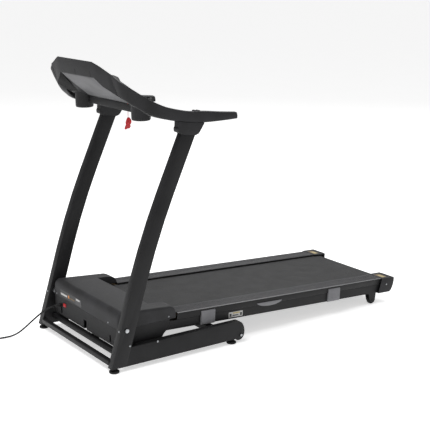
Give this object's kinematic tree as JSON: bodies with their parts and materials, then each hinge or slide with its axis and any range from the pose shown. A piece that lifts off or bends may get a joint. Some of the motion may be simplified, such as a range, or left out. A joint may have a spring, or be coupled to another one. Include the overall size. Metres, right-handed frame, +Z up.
{
  "type": "folding motorised treadmill",
  "caption": "Folding motorised treadmill: a belt deck hinged to a base with curved uprights, swept handrails, a sloping console with cup holders, and a transport-wheel base.",
  "frame": {"origin": "on the floor, under the middle of the machine's footprint and height box, without the power cord", "axes": "+X to the user's left, +Y to the rear where the user steps on, +Z up"},
  "size_m": [0.64, 1.8728, 1.146],
  "materials": {
    "frame_paint": "satin black powder coat",
    "trim_plastic": "fine-grained charcoal moulding",
    "hood_plastic": "fine-grained mid grey moulding",
    "console_plastic": "fine-grained light grey moulding",
    "rail_plastic": "ribbed dark grey tread moulding",
    "red_plastic": "glossy red moulding",
    "black_rubber": "matt black",
    "belt_rubber": "fine diamond texture on woven belting",
    "bright_steel": "zinc-plated",
    "display_panel": "dark smoked window",
    "board_wood": "plain fibreboard"
  },
  "bodies": {
    "base": {"upright_left": "frame_paint", "upright_right": "frame_paint", "base_side_tube_left": "frame_paint", "base_side_tube_right": "frame_paint", "base_front_tube": "frame_paint", "base_middle_tube": "frame_paint", "base_rear_tube": "frame_paint", "foot_front_left": "black_rubber", "foot_front_right": "black_rubber", "foot_rear_left": "black_rubber", "foot_rear_right": "black_rubber", "pivot_bolt_left": "bright_steel", "pivot_bolt_right": "bright_steel", "handrail_left": "trim_plastic", "handrail_right": "trim_plastic", "upright_cover_left": "trim_plastic", "upright_cover_right": "trim_plastic", "console_shell": "console_plastic", "console_face": "trim_plastic", "display_window": "display_panel", "cup_holder_left": "trim_plastic", "cup_holder_right": "trim_plastic", "console_crossbar": "trim_plastic", "power_cord": "black_rubber", "power_cord_coil": "black_rubber", "power_plug": "black_rubber"},
    "deck": {"deck_side_frame_left": "frame_paint", "deck_side_frame_right": "frame_paint", "strut_crossmember": "frame_paint", "rear_crossmember": "frame_paint", "running_board": "board_wood", "running_belt": "belt_rubber", "foot_rail_left": "rail_plastic", "foot_rail_right": "rail_plastic", "end_cap_left": "trim_plastic", "end_cap_right": "trim_plastic", "motor": "frame_paint", "drive_belt": "black_rubber", "hood_cover": "hood_plastic", "motor_tray": "trim_plastic", "cord_relief": "black_rubber"},
    "strut_cylinder": {"strut_cylinder": "frame_paint"},
    "strut_rod": {"strut_rod": "bright_steel"},
    "front_roller": {"front_roller": "bright_steel"},
    "rear_roller": {"rear_roller": "bright_steel"},
    "motor_rotor": {"motor_rotor": "bright_steel"},
    "transport_wheel_left": {"transport_wheel_left": "black_rubber"},
    "transport_wheel_right": {"transport_wheel_right": "black_rubber"},
    "rear_wheel_left": {"rear_wheel_left": "black_rubber"},
    "rear_wheel_right": {"rear_wheel_right": "black_rubber"},
    "grip_rocker_left": {"grip_rocker_left": "trim_plastic"},
    "grip_rocker_right": {"grip_rocker_right": "trim_plastic"},
    "power_switch": {"power_switch": "red_plastic"},
    "start_button": {"start_button": "hood_plastic"},
    "slower_button": {"slower_button": "hood_plastic"},
    "faster_button": {"faster_button": "hood_plastic"},
    "stop_button": {"stop_button": "red_plastic"},
    "safety_key": {"safety_key": "red_plastic", "safety_cord": "red_plastic", "safety_clip": "red_plastic"}
  },
  "joints": [
    {"name": "deck_fold", "type": "hinge", "parent": "base", "child": "deck", "pos_m": [0, -0.6731, 0.16], "axis": [1, 0, 0], "range_deg": [0, 70]},
    {"name": "strut_swing", "type": "hinge", "parent": "base", "child": "strut_cylinder", "pos_m": [0, -0.6441, 0.034], "axis": [1, 0, 0], "range_deg": [0, 63.1]},
    {"name": "strut_extend", "type": "slide", "parent": "strut_cylinder", "child": "strut_rod", "axis": [0, 0.9945, 0.1047], "range_m": [0, 0.1353]},
    {"name": "front_roller_spin", "type": "hinge", "parent": "deck", "child": "front_roller", "pos_m": [0, -0.491, 0.1397], "axis": [1, 0, 0], "continuous": true},
    {"name": "rear_roller_spin", "type": "hinge", "parent": "deck", "child": "rear_roller", "pos_m": [0, 0.6976, 0.081], "axis": [1, 0, 0], "continuous": true},
    {"name": "motor_spin", "type": "hinge", "parent": "deck", "child": "motor_rotor", "pos_m": [0, -0.6121, 0.137], "axis": [1, 0, 0], "continuous": true},
    {"name": "transport_wheel_left_spin", "type": "hinge", "parent": "base", "child": "transport_wheel_left", "pos_m": [0.3, -0.1441, 0.031], "axis": [1, 0, 0], "continuous": true},
    {"name": "rear_wheel_left_spin", "type": "hinge", "parent": "deck", "child": "rear_wheel_left", "pos_m": [0.254, 0.6264, 0.018], "axis": [1, 0, 0], "continuous": true},
    {"name": "grip_rocker_left_tilt", "type": "hinge", "parent": "base", "child": "grip_rocker_left", "pos_m": [0.299, -0.3471, 0.952], "axis": [1, 0, 0], "range_deg": [-3, 3], "stiffness_Nm_per_rad": 0.5},
    {"name": "transport_wheel_right_spin", "type": "hinge", "parent": "base", "child": "transport_wheel_right", "pos_m": [-0.3, -0.1441, 0.031], "axis": [1, 0, 0], "continuous": true},
    {"name": "rear_wheel_right_spin", "type": "hinge", "parent": "deck", "child": "rear_wheel_right", "pos_m": [-0.254, 0.6264, 0.018], "axis": [1, 0, 0], "continuous": true},
    {"name": "grip_rocker_right_tilt", "type": "hinge", "parent": "base", "child": "grip_rocker_right", "pos_m": [-0.299, -0.3471, 0.952], "axis": [1, 0, 0], "range_deg": [-3, 3], "stiffness_Nm_per_rad": 0.5},
    {"name": "power_switch_rock", "type": "hinge", "parent": "deck", "child": "power_switch", "pos_m": [-0.175, -0.681, 0.125], "axis": [0, 0, 1], "range_deg": [-6, 6]},
    {"name": "start_button_press", "type": "slide", "parent": "base", "child": "start_button", "axis": [0, -0.5793, -0.8151], "range_m": [0, 0.0015], "stiffness_N_per_m": 400, "springref_m": -0.001},
    {"name": "slower_button_press", "type": "slide", "parent": "base", "child": "slower_button", "axis": [0, -0.5793, -0.8151], "range_m": [0, 0.0015], "stiffness_N_per_m": 400, "springref_m": -0.001},
    {"name": "faster_button_press", "type": "slide", "parent": "base", "child": "faster_button", "axis": [0, -0.5793, -0.8151], "range_m": [0, 0.0015], "stiffness_N_per_m": 400, "springref_m": -0.001},
    {"name": "stop_button_press", "type": "slide", "parent": "base", "child": "stop_button", "axis": [0, -0.5793, -0.8151], "range_m": [0, 0.0015], "stiffness_N_per_m": 400, "springref_m": -0.001},
    {"name": "safety_key_pull", "type": "slide", "parent": "base", "child": "safety_key", "axis": [0, 0.5793, 0.8151], "range_m": [0, 0.02]}
  ],
  "couplings": [
    {"joint": "strut_swing", "follows": "deck_fold", "ratio": 0.9001},
    {"joint": "strut_extend", "follows": "deck_fold", "m_per_rad": 0.11063},
    {"joint": "rear_roller_spin", "follows": "front_roller_spin", "ratio": 1},
    {"joint": "motor_spin", "follows": "front_roller_spin", "ratio": 2.25}
  ]
}
